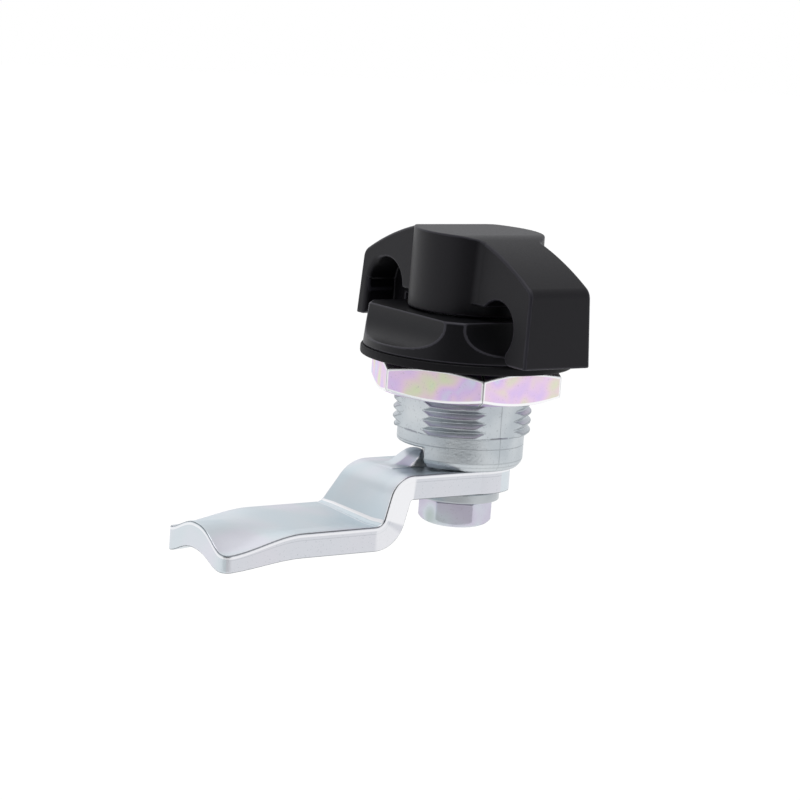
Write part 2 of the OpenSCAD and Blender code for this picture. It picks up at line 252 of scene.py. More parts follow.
def hexRadius(angles, apothem, cornerRound):
    # distance from the axis to a hexagon's side at each angle, its corners rounded
    offFace = (angles + math.pi / 6) % (math.pi / 3) - math.pi / 6
    flat = apothem / np.cos(offFace)
    centre = (apothem - cornerRound) / math.cos(math.pi / 6)
    offCorner = math.pi / 6 - np.abs(offFace)
    aside = centre * np.sin(offCorner)
    corner = centre * np.cos(offCorner) + np.sqrt(np.maximum(cornerRound ** 2 - aside ** 2, 0))
    tangent = math.atan((apothem - cornerRound) * math.tan(math.pi / 6) / apothem)
    return np.where(np.abs(offFace) < tangent, flat, corner)


def hexAngles(apothem, cornerRound, turn):
    # angles round a hexagon, close together at its rounded corners
    tangent = math.atan((apothem - cornerRound) * math.tan(math.pi / 6) / apothem)
    corner = math.pi / 6 - tangent
    side = np.concatenate([np.linspace(-tangent + corner, tangent - corner, 25),
                           math.pi / 6 + np.linspace(-corner, corner, 9)])
    return np.concatenate([side + i * math.pi / 3 for i in range(6)]) + turn


def sideOutlines(side, corners):
    # one outline for each of a hexagon's angles, from corners whose radius or height may change with the side
    return np.stack([np.stack(np.broadcast_arrays(r, z, side)[:2], axis=1) for r, z in corners], axis=1)


def ringPiece(name, box, radius, sizes):
    # a ring turned round the axis; a coned one rises outwards
    bore, cone, low, high = sizes["bore"], sizes["cone"], box[0][2], box[1][2]
    outline = np.array([[bore, low], [radius, low + cone], [radius, high], [bore, high - cone]])
    angles = np.linspace(0, 2 * math.pi, sizes["turns"], endpoint=False)
    rounds = [sizes[key] for key in ("boreEdge", "edge", "edge", "boreEdge")]
    rings = softCorners(np.repeat(outline[None], sizes["turns"], axis=0), rounds)
    return makeMesh(name, *turnedSurface(angles, rings))


edgeReach = 0.12
edgeFull = 4


def fieldPiece(name, field, box, steps, more=None):
    # a piece from its field, with the attribute "edge", 1 on outer edges as sharp as edgeFull, and any more
    axes = [span(box[0][k], box[1][k], steps[k]) for k in range(3)]
    points, faces, normals = fieldSurface(field, axes)
    bend = np.clip(edgeBend(field, points, edgeReach) / edgeFull, -1, 1)
    return makeMesh(name, points, faces, normals, {"edge": bend, **(more(points) if more else {})})


def fade(first, second, distance, start, length):
    # the first value up to the start, the second one past start + length
    return first + (second - first) * smooth((distance - start) / length)


# Node settings used often, and helpers for the materials

multiply, add, larger = ({"operation": key} for key in ("MULTIPLY", "ADD", "MAXIMUM"))
smoothly = {"interpolation_type": "SMOOTHSTEP"}
layer = {"data_type": "RGBA"}
tinting = {"data_type": "RGBA", "blend_type": "MULTIPLY"}


def band(tree, value, low, high, soft):
    # one between low and high, falling to zero over a soft border on either side
    rise = addNode(tree, "MapRange", smoothly, {"Value": value, "From Min": low - soft, "From Max": low})
    fall = addNode(tree, "MapRange", smoothly, {"Value": value, "From Min": high, "From Max": high + soft,
                                                "To Min": 1.0, "To Max": 0.0})
    return addNode(tree, "Math", multiply, {0: rise.outputs[0], 1: fall.outputs[0]}).outputs[0]


def unevenGloss(tree, fine, roughness, spread=0.05):
    # a roughness that varies a little with the fine noise
    return addNode(tree, "MapRange", {}, {"Value": fine, "To Min": roughness - spread,
                                          "To Max": roughness + spread}).outputs["Result"]


# Materials. Lengths are in millimetres, and a range of marks reads as low, high and soft border.

moulding = dict(
    cloudSize=7, cloudTone=(0.9, 1.12), edge=(0.5, 2.0, 0.3), grainStrength=0.25, grainHigh=0.03,
    ior=1.53, specularTint=(0.95, 0.94, 1.0, 1))


def mouldedBlack(name, colour, edgeHighlightColour, roughness, specular, grain):
    # a black moulding from an eroded mould: very matt, a fine even grain, and a painted highlight that makes
    # the sharp edges a little lighter
    m = moulding
    material, tree = newMaterial(name)
    place = addNode(tree, "TexCoord").outputs["Object"]
    edge = addNode(tree, "Attribute", {"attribute_name": "edge"}).outputs["Fac"]
    fine = addNode(tree, "TexNoise", {}, {"Vector": place, "Scale": perMm(grain),
                                          "Detail": 3.0}).outputs["Fac"]
    cloud = addNode(tree, "TexNoise", {}, {"Vector": place, "Scale": perMm(m["cloudSize"]), "Detail": 2.0})
    darkest, lightest = m["cloudTone"]
    tone = addNode(tree, "MapRange", {}, {"Value": cloud.outputs["Fac"], "From Min": 0.3, "From Max": 0.7,
                                          "To Min": darkest, "To Max": lightest})
    # painted highlight: the sharp edges take the lighter edge colour
    paintedEdgeLight = addNode(tree, "Mix", layer, {0: band(tree, edge, *m["edge"]), 6: hexColour(colour),
                                          7: hexColour(edgeHighlightColour)}).outputs[2]
    shade = addNode(tree, "Mix", tinting, {0: 1.0, 6: paintedEdgeLight, 7: tone.outputs["Result"]}).outputs[2]
    grainBump = addNode(tree, "Bump",
                        {"Strength": m["grainStrength"], "Distance": m["grainHigh"] * mm}, {"Height": fine})
    surface = addNode(tree, "BsdfPrincipled",
                      {"IOR": m["ior"], "Specular IOR Level": specular, "Specular Tint": m["specularTint"]},
                      {"Base Color": shade, "Roughness": unevenGloss(tree, fine, roughness),
                       "Normal": grainBump.outputs["Normal"]})
    addNode(tree, "OutputMaterial", {}, {"Surface": surface.outputs["BSDF"]})
    return material


def metalBase(name, stops, patch, spread, grain, spots=()):
    # what all the metals share: Object coordinates, a tint in soft patches and a fine noise
    material, tree = newMaterial(name)
    place = addNode(tree, "TexCoord").outputs["Object"]
    film = addNode(tree, "TexNoise", {}, {"Vector": place, "Scale": perMm(patch), "Detail": 1.0,
                                          "Roughness": 0.4, "Distortion": spread}).outputs["Fac"]
    for centre, reach, gain in spots:
        away = addNode(tree, "VectorMath", {"operation": "DISTANCE"},
                       {0: place, 1: [c * mm for c in centre]}).outputs["Value"]
        near = band(tree, away, -1.0, 0.0, reach * mm)
        thicker = addNode(tree, "Math", multiply, {0: near, 1: gain}).outputs[0]
        film = addNode(tree, "Math", add, {0: film, 1: thicker}).outputs[0]
    tint = addNode(tree, "ValToRGB", {"stops": [(p, hexColour(c)) for p, c in stops]}, {"Fac": film})
    fine = addNode(tree, "TexNoise", {}, {"Vector": place, "Scale": perMm(grain), "Detail": 4.0})
    return material, tree, place, tint.outputs["Color"], fine.outputs["Fac"]


def metalFinish(tree, colour, height, fine, roughness, bump, bumpHigh=0.02):
    # closes a metal with its colour, its fine unevenness and a roughness that follows it
    uneven = addNode(tree, "Bump", {"Strength": bump, "Distance": bumpHigh * mm}, {"Height": height})
    surface = addNode(tree, "BsdfPrincipled", {"Metallic": 1.0},
                      {"Base Color": colour, "Roughness": unevenGloss(tree, fine, roughness),
                       "Normal": uneven.outputs["Normal"]})
    addNode(tree, "OutputMaterial", {}, {"Surface": surface.outputs["BSDF"]})


def specked(tree, place, colour, dark, share, size=0.35, pit=(0.68, 2.0, 0.05)):
    # small dark pits, as on parts that were tumbled before plating
    grains = addNode(tree, "TexNoise", {}, {"Vector": place, "Scale": perMm(size), "Detail": 2.0,
                                            "Roughness": 0.7}).outputs["Fac"]
    pits = addNode(tree, "Math", multiply, {0: band(tree, grains, *pit), 1: share}).outputs[0]
    return addNode(tree, "Mix", layer, {0: pits, 6: colour, 7: hexColour(dark)}).outputs[2]


plating = dict(
    pitDark="#a9a3ad", pitShare=0.3, edge=(0.7, 2.0, 0.4), edgeLight="#fcfcfd", ridgeDark="#4c4c50",
    ridgeShare=0.8)


def platedSteel(name, stops, patch, spread, roughness, grain, bump, spots=()):
    # zinc on steel: a soft satin metal whose thin film tints it in patches, with a painted highlight on the
    # rounded edges and a fine painted dark line of shade where two flanks meet; the film is thicker at the
    # given spots
    p = plating
    material, tree, place, tint, fine = metalBase(name, stops, patch, spread, grain, spots)
    edge, ridge = (addNode(tree, "Attribute", {"attribute_name": key}).outputs["Fac"]
                   for key in ("edge", "ridge"))
    ridge = addNode(tree, "Math", multiply, {0: ridge, 1: p["ridgeShare"]}).outputs[0]
    colour = specked(tree, place, tint, p["pitDark"], p["pitShare"])
    # painted highlight on the rounded edges, and painted shade in the dark line along each corner
    for mask, tone in ((band(tree, edge, *p["edge"]), p["edgeLight"]), (ridge, p["ridgeDark"])):
        colour = addNode(tree, "Mix", layer, {0: mask, 6: colour, 7: hexColour(tone)}).outputs[2]
    metalFinish(tree, colour, fine, fine, roughness, bump)
    return material


casting = dict(
    patch=5, spread=0.3, grain=0.35, partingY=0.2, partingSoft=0.05, seamZ=-12.9, seamSoft=0.06,
    lineHalf=0.03, lineHigh=3.0, lineShare=0.35, castTop=-11.4, castSoft=0.2, castGrain=0.45,
    castHigh=4.0, pitDark="#83898c", pitShare=0.35, edge=(0.6, 2.0, 0.3), edgeShare=0.4, dark="#7d8487",
    roughness=0.41, bump=0.6)


def castZinc(name, stops):
    # plain die-cast zinc: cut thread and flats, a grainy cast foot, the mould's parting lines, raised and
    # with painted shade along them, and painted shade darkening the sharp edges
    c = casting
    material, tree, place, tint, fine = metalBase(name, stops, c["patch"], c["spread"], c["grain"])
    edge = addNode(tree, "Attribute", {"attribute_name": "edge"}).outputs["Fac"]
    axes = addNode(tree, "SeparateXYZ", {}, {"Vector": place}).outputs
    half = c["lineHalf"]
    parting = band(tree, axes["Y"], (c["partingY"] - half) * mm, (c["partingY"] + half) * mm,
                   c["partingSoft"] * mm)
    seam = band(tree, axes["Z"], (c["seamZ"] - half) * mm, (c["seamZ"] + half) * mm, c["seamSoft"] * mm)
    line = addNode(tree, "Math", larger, {0: parting, 1: seam}).outputs[0]
    cast = band(tree, axes["Z"], -1.0, c["castTop"] * mm, c["castSoft"] * mm)
    grains = addNode(tree, "TexNoise", {}, {"Vector": place, "Scale": perMm(c["castGrain"]), "Detail": 3.0,
                                            "Roughness": 0.6}).outputs["Fac"]
    rough = addNode(tree, "Math", multiply, {0: grains, 1: cast}).outputs[0]
    rough = addNode(tree, "Math", multiply, {0: rough, 1: c["castHigh"]}).outputs[0]
    raised = addNode(tree, "Math", multiply, {0: line, 1: c["lineHigh"]}).outputs[0]
    height = addNode(tree, "Math", add, {0: fine, 1: rough}).outputs[0]
    height = addNode(tree, "Math", add, {0: height, 1: raised}).outputs[0]
    # painted shade: the sharp edges and the parting lines are darkened
    paintedEdgeShade = addNode(tree, "Math", multiply, {0: band(tree, edge, *c["edge"]), 1: c["edgeShare"]}).outputs[0]
    shadow = addNode(tree, "Math", multiply, {0: line, 1: c["lineShare"]}).outputs[0]
    darker = addNode(tree, "Math", larger, {0: paintedEdgeShade, 1: shadow}).outputs[0]
    colour = specked(tree, place, tint, c["pitDark"], c["pitShare"])
    colour = addNode(tree, "Mix", layer, {0: darker, 6: colour, 7: hexColour(c["dark"])}).outputs[2]
    metalFinish(tree, colour, height, fine, c["roughness"], c["bump"])
    return material


# the marks run along the bends, from 0 to 1, through the plate, from -1 to 1, and in from its edges
bent = dict(
    patch=9, spread=0.4, grain=0.3, flank=7.75, flankSoft=0.1, flankTint="#d8d8de", flankShare=0.8,
    slope=((0.0, 9.0, 0.15), (1.0, 9.0, 0.1)), lowerBend=(0.1, 0.7, 0.15), lowerShare=0.6, whiteShare=0.8,
    top=(0.9, 2.0, 0.15), toolEnd=(0.0, 0.08, 0.05), toolEndShare=0.7, toolStart=(0.66, 0.86, 0.08),
    toolHigh=2.0, rim=((-0.55, -0.3, 0.1), (0.5, 0.9, 0.05)), rimShare=0.7, white="#fbfbfd",
    shearLine=(0.44, 0.46, 0.03), shearShare=0.3, shearDark="#8f959b", pitDark="#a5adb2", pitShare=0.4,
    edgeShade=((-0.13, 1.0, 0.05), (-1.02, 1.02, 0.05)), edgeShadeShare=0.8, edgeShadeDark="#5d6469",
    sheared=(0.5, 2.0, 0.3), shearedWallHighlight="#fdfefe", roughness=0.36, bump=0.15)


def bentPlate(name, stops):
    # plated like the nut but paler, with painted highlights: whiter on the sides of the bends, two light
    # lines along the lower bend, also raised a little, and a bright rim along the edges beside a dark line of
    # painted shade; the stop's sheared wall is painted whiter
    b = bent
    material, tree, place, tint, fine = metalBase(name, stops, b["patch"], b["spread"], b["grain"])
    upper, lower, level, corner, sheared = (
        addNode(tree, "Attribute", {"attribute_name": key}).outputs["Fac"]
        for key in ("upperBend", "lowerBend", "level", "corner", "sheared"))
    across = addNode(tree, "SeparateXYZ", {}, {"Vector": place}).outputs["X"]
    aside = addNode(tree, "Math", {"operation": "ABSOLUTE"}, {0: across}).outputs[0]
    flank = band(tree, aside, b["flank"] * mm, 1.0, b["flankSoft"] * mm)
    inside = addNode(tree, "Math", {"operation": "SUBTRACT"}, {0: 1.0, 1: flank}).outputs[0]
    masks = {"flank": flank, "inside": inside, "upper": band(tree, upper, *b["slope"][0]),
             "below": band(tree, lower, *b["slope"][1]), "faint": band(tree, lower, *b["lowerBend"]),
             "toolEnd": band(tree, lower, *b["toolEnd"]), "toolStart": band(tree, lower, *b["toolStart"]),
             "top": band(tree, level, *b["top"]), "rim": band(tree, corner, *b["rim"][0]),
             "rimLevel": band(tree, level, *b["rim"][1]), "shear": band(tree, level, *b["shearLine"]),
             "edgeShade": band(tree, corner, *b["edgeShade"][0]), "edgeShadeLevel": band(tree, level, *b["edgeShade"][1])}
    # painted highlights: "white" on the sides of the bends, the two bend lines on top and the rim by the
    # edges; painted shade: the dark line along the edges
    # each mask is made from two others, or from one and its share
    for made, operation, first, second in (
            ("drawn", multiply, "upper", "below"), ("faint", multiply, "faint", b["lowerShare"]),
            ("bends", larger, "drawn", "faint"), ("white", multiply, "bends", "flank"),
            ("white", multiply, "white", b["whiteShare"]),
            ("toolEnd", multiply, "toolEnd", b["toolEndShare"]),
            ("tool", larger, "toolEnd", "toolStart"), ("top", multiply, "top", "inside"),
            ("lines", multiply, "tool", "top"), ("rim", multiply, "rim", "rimLevel"),
            ("rim", multiply, "rim", b["rimShare"]), ("lightest", larger, "white", "lines"),
            ("lightest", larger, "lightest", "rim"), ("shear", multiply, "shear", "flank"),
            ("shear", multiply, "shear", b["shearShare"]), ("edgeShade", multiply, "edgeShade", "edgeShadeLevel"),
            ("edgeShade", multiply, "edgeShade", b["edgeShadeShare"]), ("cut", multiply, "flank", b["flankShare"]),
            ("pits", multiply, "flank", b["pitShare"]), ("height", multiply, "lines", b["toolHigh"])):
        pair = {0: masks[first], 1: masks.get(second, second)}
        masks[made] = addNode(tree, "Math", operation, pair).outputs[0]
    # painted highlight on the stop's sheared wall
    masks["sheared"] = band(tree, sheared, *b["sheared"])
    tinted = {0: masks["cut"], 6: tint, 7: hexColour(b["flankTint"])}
    colour = addNode(tree, "Mix", layer, tinted).outputs[2]
    colour = specked(tree, place, colour, b["pitDark"], masks["pits"])
    for key, tone in (("shear", "shearDark"), ("lightest", "white"), ("edgeShade", "edgeShadeDark"),
                      ("sheared", "shearedWallHighlight")):
        laid = {0: masks[key], 6: colour, 7: hexColour(b[tone])}
        colour = addNode(tree, "Mix", layer, laid).outputs[2]
    height = addNode(tree, "Math", add, {0: fine, 1: masks["height"]}).outputs[0]
    metalFinish(tree, colour, height, fine, b["roughness"], b["bump"])
    return material


# glass-filled nylon, injection moulded in black
handleNylon = mouldedBlack("moulded_nylon", "#0d0c10", "#2e2d33", roughness=0.44, specular=0.24, grain=0.35)
collarNylon = mouldedBlack("moulded_nylon_collar", "#0b0b0e", "#3a393f", roughness=0.42, specular=0.24,
                           grain=0.3)
# nitrile rubber, compression moulded in black
sealRubber = mouldedBlack("nitrile_rubber", "#0a0a0c", "#19191b", roughness=0.6, specular=0.2, grain=0.5)
# zinc alloy, die-cast and left bare
housingZinc = castZinc("die_cast_zinc", [(0.3, "#bfc6cb"), (0.5, "#cad0d4"), (0.7, "#d2d7da")])
# zinc-plated steel, passivated, with a film that shows lilac and yellow-green
nutPlating = platedSteel("passivated_nut", [(0.34, "#dcdff4"), (0.44, "#e5ccf5"), (0.56, "#eed3ef"),
                                            (0.66, "#eedcde"), (0.77, "#e2e8c8"), (0.9, "#d2e6dc")],
                         patch=4, spread=0.3, roughness=0.38, grain=0.3, bump=0.15,
                         spots=[((6.6, -12.3, -2.4), 4.2, 0.22), ((13.3, -2.6, -2.8), 3.5, 0.26)])
# zinc-plated steel plate, bent and passivated
camPlating = bentPlate("passivated_plate", [(0.35, "#d2dde3"), (0.5, "#d8dfe4"), (0.65, "#dedfe7")])
# zinc-plated steel, cold-headed and passivated
screwPlating = platedSteel("passivated_screw", [(0.3, "#c1bacd"), (0.5, "#cbc8d7"), (0.62, "#cdd3db"),
                                                (0.8, "#b2bfbc")],
                           patch=6, spread=0.3, roughness=0.36, grain=0.3, bump=0.15,
                           spots=[((0.2, -6.3, -25.0), 3.5, 0.25)])
# spring steel, stamped and zinc-plated
washerSteel = platedSteel("zinc_plated_washer", [(0.3, "#b0b5b9"), (0.7, "#bec3c6")],
                          patch=4, spread=0.3, roughness=0.3, grain=0.25, bump=0.15)
# free-cutting steel, turned
spindleSteel = platedSteel("turned_steel", [(0.35, "#9a9da1"), (0.65, "#b2b4b7")],
                           patch=3, spread=0.3, roughness=0.4, grain=0.25, bump=0.3)
print("materials made:", len(bpy.data.materials))


# Wing handle

handle = dict(
    crownHalf=5.5, crownRound=12.3, slopeStart=15.2, slopeEnd=31.6, kneeRound=2.0, draft=2.4,
    crownLift=0.05, crownTilt=0.018, endShift=0.15, legZ=2.05, wingHalf=6.4, wingDraft=0.047, bossX=0.42,
    bossY=0.4, bossMore=0.06, bossTop=10.25, bossFillet=1.8, bossFoot=8.05, webZ=10.0, eyeX=14.6,
    eyeZ=7.05, eyeRound=4.4, hookX=17.7, hookRound=1.2, swing=16.7, shortLegZ=4.2, shortLegRound=0.3,
    archX=-15.2, archZ=9.45, archRound=4.8, slotJoin=0.2, ribHalf=0.6, ribEdge=0.3, socketHalf=5.05,
    socketTop=15.35, footEdge=0.25, legEdge=0.25, topEdge=0.5, bossEdge=0.25, bossEdgeFrom=8,
    bossEdgeOver=2, archEdge=0.25, archEndEdge=0.85, archEndFrom=16, archEndOver=3, margin=0.4, step=0.2)


def crownArcs():
    # centre, radius and first and last angle of the side view's arcs, each tangent to the next
    halfLength, legZ, top = handleBox[1][0] + handle["endShift"], handleBox[0][2], handleBox[1][2]
    start, end, draft = (math.radians(handle[k]) for k in ("slopeStart", "slopeEnd", "draft"))
    knee, crown = handle["kneeRound"], handle["crownRound"]
    crownX, crownZ = handle["crownHalf"], top - crown
    slopeX, slopeZ = crownX + crown * math.sin(start), crownZ + crown * math.cos(start)
    room = (halfLength - slopeX + knee * (math.sin(end) - 1 / math.cos(draft))
            - (slopeZ - knee * math.cos(end) - legZ) * math.tan(draft))
    slope = room / (math.sin(end) - math.sin(start) - (math.cos(start) - math.cos(end)) * math.tan(draft))
    middleX, middleZ = slopeX - slope * math.sin(start), slopeZ - slope * math.cos(start)
    kneeX, kneeZ = middleX + (slope - knee) * math.sin(end), middleZ + (slope - knee) * math.cos(end)
    quarter = math.pi / 2
    return [(crownX, crownZ, crown, quarter - start, quarter),
            (middleX, middleZ, slope, quarter - end, quarter - start),
            (kneeX, kneeZ, knee, draft, quarter - end)]


handleArcs = crownArcs()


def crownField(x, z):
    # the outline is convex, so it is the largest of its supporting lines, each arc giving its nearest one;
    # the crown stands a little higher towards the shorter leg
    z = z - handle["crownLift"] + handle["crownTilt"] * x
    x = x - handle["endShift"]
    field = -np.inf
    for centreX, centreZ, radius, first, last in handleArcs:
        dx, dz = np.abs(x) - centreX, z - centreZ
        angle = np.clip(np.arctan2(dz, dx), first, last)
        field = np.maximum(field, dx * np.cos(angle) + dz * np.sin(angle) - radius)
    return field


def underField(x, z):
    # room under the wings that goes right through them
    h = handle
    swing = np.maximum(np.maximum(-h["swing"] - x, x - h["hookX"]), z - h["bossFoot"])
    web = np.maximum(np.maximum(-x, x - h["hookX"]), z - h["webZ"])
    eye = np.hypot(x - h["eyeX"], z - h["eyeZ"]) - h["eyeRound"]
    belowShort = np.maximum(x + h["crownHalf"], z - h["shortLegZ"])
    room = join(join(np.minimum(swing, web), eye, h["slotJoin"]), z - h["legZ"], h["hookRound"])
    return join(room, belowShort, h["shortLegRound"])


def pocketField(x, z):
    # the arch over the shorter leg, seen from the side
    h = handle
    slot = np.maximum(np.maximum(h["archX"] - h["archRound"] - x, x), z - h["webZ"])
    return join(slot, np.hypot(x - h["archX"], z - h["archZ"]) - h["archRound"], h["slotJoin"])


def planField(x, y, z, bossRound):
    # the boss and the wings from above; a fillet of radius r touches the boss (radius R) and the wing (half
    # width w), so its centre is at (sqrt((R + r)^2 - (w + r)^2), w + r), and it holds between the two lines
    # from there to the boss's axis and square to the wing
    h = handle
    half = h["wingHalf"] - h["wingDraft"] * (z - handleBox[0][2]) - h["bossY"] * np.sign(y)
    x, y = x - h["bossX"], y - h["bossY"]
    r = h["bossFillet"]
    centreY = half + r
    centreX = np.sqrt((bossRound + r) ** 2 - centreY ** 2)
    dx, dy = np.abs(x) - centreX, np.abs(y) - centreY
    inSector = (dx <= 0) & (centreY * dx - centreX * dy >= 0)
    plain = np.minimum(np.abs(y) - half, np.hypot(x, y) - bossRound)
    return np.where(inSector, r - np.hypot(dx, dy), plain)


def handleField(x, y, z):
    # the wings with their rooms cut out, the boss as a stem between them, and the spindle's socket
    h = handle
    crown = crownField(x, z)
    taper = (handleBox[1][1] - h["bossTop"]) / (handleBox[1][2] - h["bossFoot"])
    bossRound = handleBox[1][1] + h["bossMore"] - taper * (z - h["bossFoot"])
    boss = np.hypot(x - h["bossX"], y - h["bossY"]) - bossRound
    plan = planField(x, y, z, bossRound)
    edge = fade(h["bossEdge"], h["topEdge"], np.abs(x), h["bossEdgeFrom"], h["bossEdgeOver"])
    wings = meet(meet(plan, crown, edge), -underField(x, z), h["legEdge"])
    pocket = meet(pocketField(x, z), h["ribHalf"] - np.abs(y), h["ribEdge"])
    archEdge = fade(h["archEdge"], h["archEndEdge"], -x, h["archEndFrom"], h["archEndOver"])
    wings = meet(wings, -pocket, archEdge)
    stem = meet(meet(boss, crown, h["bossEdge"]), h["bossFoot"] - z, h["footEdge"])
    socket = np.maximum(np.maximum(np.abs(x), np.abs(y)) - h["socketHalf"], z - h["socketTop"])
    return np.maximum(np.minimum(wings, stem), -socket)


handleRoom = [handleBox[0] - handle["margin"], handleBox[1] + handle["margin"]]
wingHandle = fieldPiece("wing_handle_moulding", handleField, handleRoom, [handle["step"]] * 3)
fitPiece(wingHandle, handleNylon, "turning", "wing_handle")


# Padlock collar

collar = dict(
    lowRadius=16.6, topRadius=16.05, bevel=0.35, grooveRound=4.4, grooveOut=16.85, grooveZ=7.2,
    rimRound=0.14, bore=8.05, seat=13.25, seatTop=3.25, margin=0.3, step=0.2)


def collarField(x, y, z):
    # a drafted disc with four shackle grooves across its rim, hollow below
    c = collar
    rho = np.hypot(x, y)
    low, high = collarBox[0][2], collarBox[1][2]
    wall = rho - c["lowRadius"] + (c["lowRadius"] - c["topRadius"]) * (z - low) / (high - low)
    body = meet(wall, np.maximum(z - high, low - z), c["bevel"])
    groove = np.minimum(np.hypot(np.abs(x) - c["grooveOut"], z - c["grooveZ"]),
                        np.hypot(np.abs(y) - c["grooveOut"], z - c["grooveZ"])) - c["grooveRound"]
    inside = np.minimum(rho - c["bore"], np.maximum(rho - c["seat"], z - c["seatTop"]))
    return np.maximum(meet(body, -groove, c["rimRound"]), -inside)


collarRoom = [collarBox[0] - collar["margin"], collarBox[1] + collar["margin"]]
padlockCollar = fieldPiece("padlock_collar_moulding", collarField, collarRoom, [collar["step"]] * 3)
fitPiece(padlockCollar, collarNylon, "mounting", "padlock_collar")


# Flange gasket: one outline turned round the axis

gasket = dict(bore=11.05, radius=16.95, cone=0.0, boreEdge=0.1, edge=0.35, turns=240)
flangeGasket = ringPiece("flange_gasket_ring", gasketBox, gasket["radius"], gasket)
fitPiece(flangeGasket, sealRubber, "mounting", "flange_gasket")


# Housing: fine thread with four flats, and a foot with the stop's notch

housing = dict(
    crest=11.0, depth=0.65, pitch=1.5, crestHalf=0.1, flank=0.6, threadStart=0.75, threadEnd=-11.2,
    steepness=0.7, flatHalf=9.95, flatEdge=0.06, barrelEdge=0.1, overlap=0.1, footRadius=10.15,
    footEdge=0.15, bevelHigh=1.0, bevelIn=0.8, bevelEdge=0.3, notchX=3.25, notchY=4.45, notchTop=-13.5,
    notchEdge=0.35, flangeTop=3.2, flangeEdge=0.15, seatZ=1.4, neck=8.0, neckEdge=0.2, bore=6.05,
    boreEdge=0.15, step=0.22, stepUp=0.18)


def housingField(x, y, z):
    h = housing
    rho = np.hypot(x, y)
    # the thread's crest climbs one pitch in a turn; the steepness brings its field near the true distance
    turn = (z / h["pitch"] - np.arctan2(y, x) / (2 * math.pi) + h["threadStart"]) % 1
    offCrest = np.abs(turn - 0.5) * h["pitch"]
    radius = h["crest"] - h["depth"] * np.clip((offCrest - h["crestHalf"]) / h["flank"], 0, 1)
    thread = (rho - radius) * h["steepness"]
    flats = np.maximum(np.abs(x), np.abs(y)) - h["flatHalf"]
    ends = np.maximum(h["threadEnd"] - z, z - h["seatZ"] - h["overlap"])
    barrel = meet(meet(thread, flats, h["flatEdge"]), ends, h["barrelEdge"])
    low = housingBox[0][2]
    bevel = (rho - h["footRadius"]) * h["bevelHigh"] + (low + h["bevelHigh"] - z) * h["bevelIn"]
    bevel = bevel / math.hypot(h["bevelHigh"], h["bevelIn"])
    foot = meet(rho - h["footRadius"], bevel, h["bevelEdge"])
    foot = meet(foot, np.maximum(low - z, z - h["threadEnd"] - h["overlap"]), h["footEdge"])
    notch = np.maximum(np.maximum(x - h["notchX"], y - h["notchY"]), z - h["notchTop"])
    foot = meet(foot, -notch, h["notchEdge"])
    flange = meet(rho - housingBox[1][0], np.maximum(h["seatZ"] - z, z - h["flangeTop"]), h["flangeEdge"])
    neck = meet(rho - h["neck"], np.maximum(h["seatZ"] - z, z - housingBox[1][2]), h["neckEdge"])
    solid = np.minimum(np.minimum(barrel, foot), np.minimum(flange, neck))
    return meet(solid, h["bore"] - rho, h["boreEdge"])


housingSteps = [housing["step"], housing["step"], housing["stepUp"]]
housingPiece = fieldPiece("housing_casting", housingField, housingBox, housingSteps)
fitPiece(housingPiece, housingZinc, "mounting", "housing")


# Hexagon nut: the outline at each angle has the side's distance there, and bevels at both ends

nut = dict(
    apothem=13.9, turn=math.radians(3.3), cornerRound=0.4, bevelStart=13.7, bevelSlope=math.radians(22),
    bore=11.05, boreEdge=0.2, faceEdge=0.12, edge=0.3, whiteNear=0.22, whiteFar=0.4, ridge=0.12)
nutAngles = hexAngles(nut["apothem"], nut["cornerRound"], nut["turn"])
nutSide = hexRadius(nutAngles - nut["turn"], nut["apothem"], nut["cornerRound"])
nutDrop = (nutSide - nut["bevelStart"]) * math.tan(nut["bevelSlope"])
nutLow, nutHigh = nutBox[0][2], nutBox[1][2]
nutOutline = sideOutlines(nutSide, [
    (nut["bore"], nutLow), (nut["bevelStart"], nutLow), (nutSide, nutLow + nutDrop),
    (nutSide, nutHigh - nutDrop), (nut["bevelStart"], nutHigh), (nut["bore"], nutHigh)])
nutRounds = [nut[key] for key in ("boreEdge", "faceEdge", "edge", "edge", "faceEdge", "boreEdge")]
nutRings = softCorners(nutOutline, nutRounds)
# painted highlight: "edge" is 1 on the rounded edges, which are painted paler, and "ridge" marks the line
# along each corner, painted with a dark line of shade
offCorner = np.abs((nutAngles - nut["turn"]) % (math.pi / 3) - math.pi / 6) * nutSide
pointsEach = nutRings.shape[1] // nutOutline.shape[1]
alongEdge = np.zeros(nutRings.shape[1])
for corner in (2, 3):
    alongEdge[corner * pointsEach + 1:(corner + 1) * pointsEach - 1] = 1
atCorner = 1 - smooth((offCorner - nut["whiteNear"]) / (nut["whiteFar"] - nut["whiteNear"]))
nutMarks = {"edge": np.maximum(alongEdge[None], atCorner[:, None]).ravel(),
            "ridge": np.repeat(np.clip(1 - offCorner / nut["ridge"], 0, 1), nutRings.shape[1])}
hexNut = makeMesh("hex_nut_plated", *turnedSurface(nutAngles, nutRings), attributes=nutMarks)
fitPiece(hexNut, nutPlating, "mounting", "hex_nut")


# Cam: a bent plate, thick round its middle surface and cut to its plan

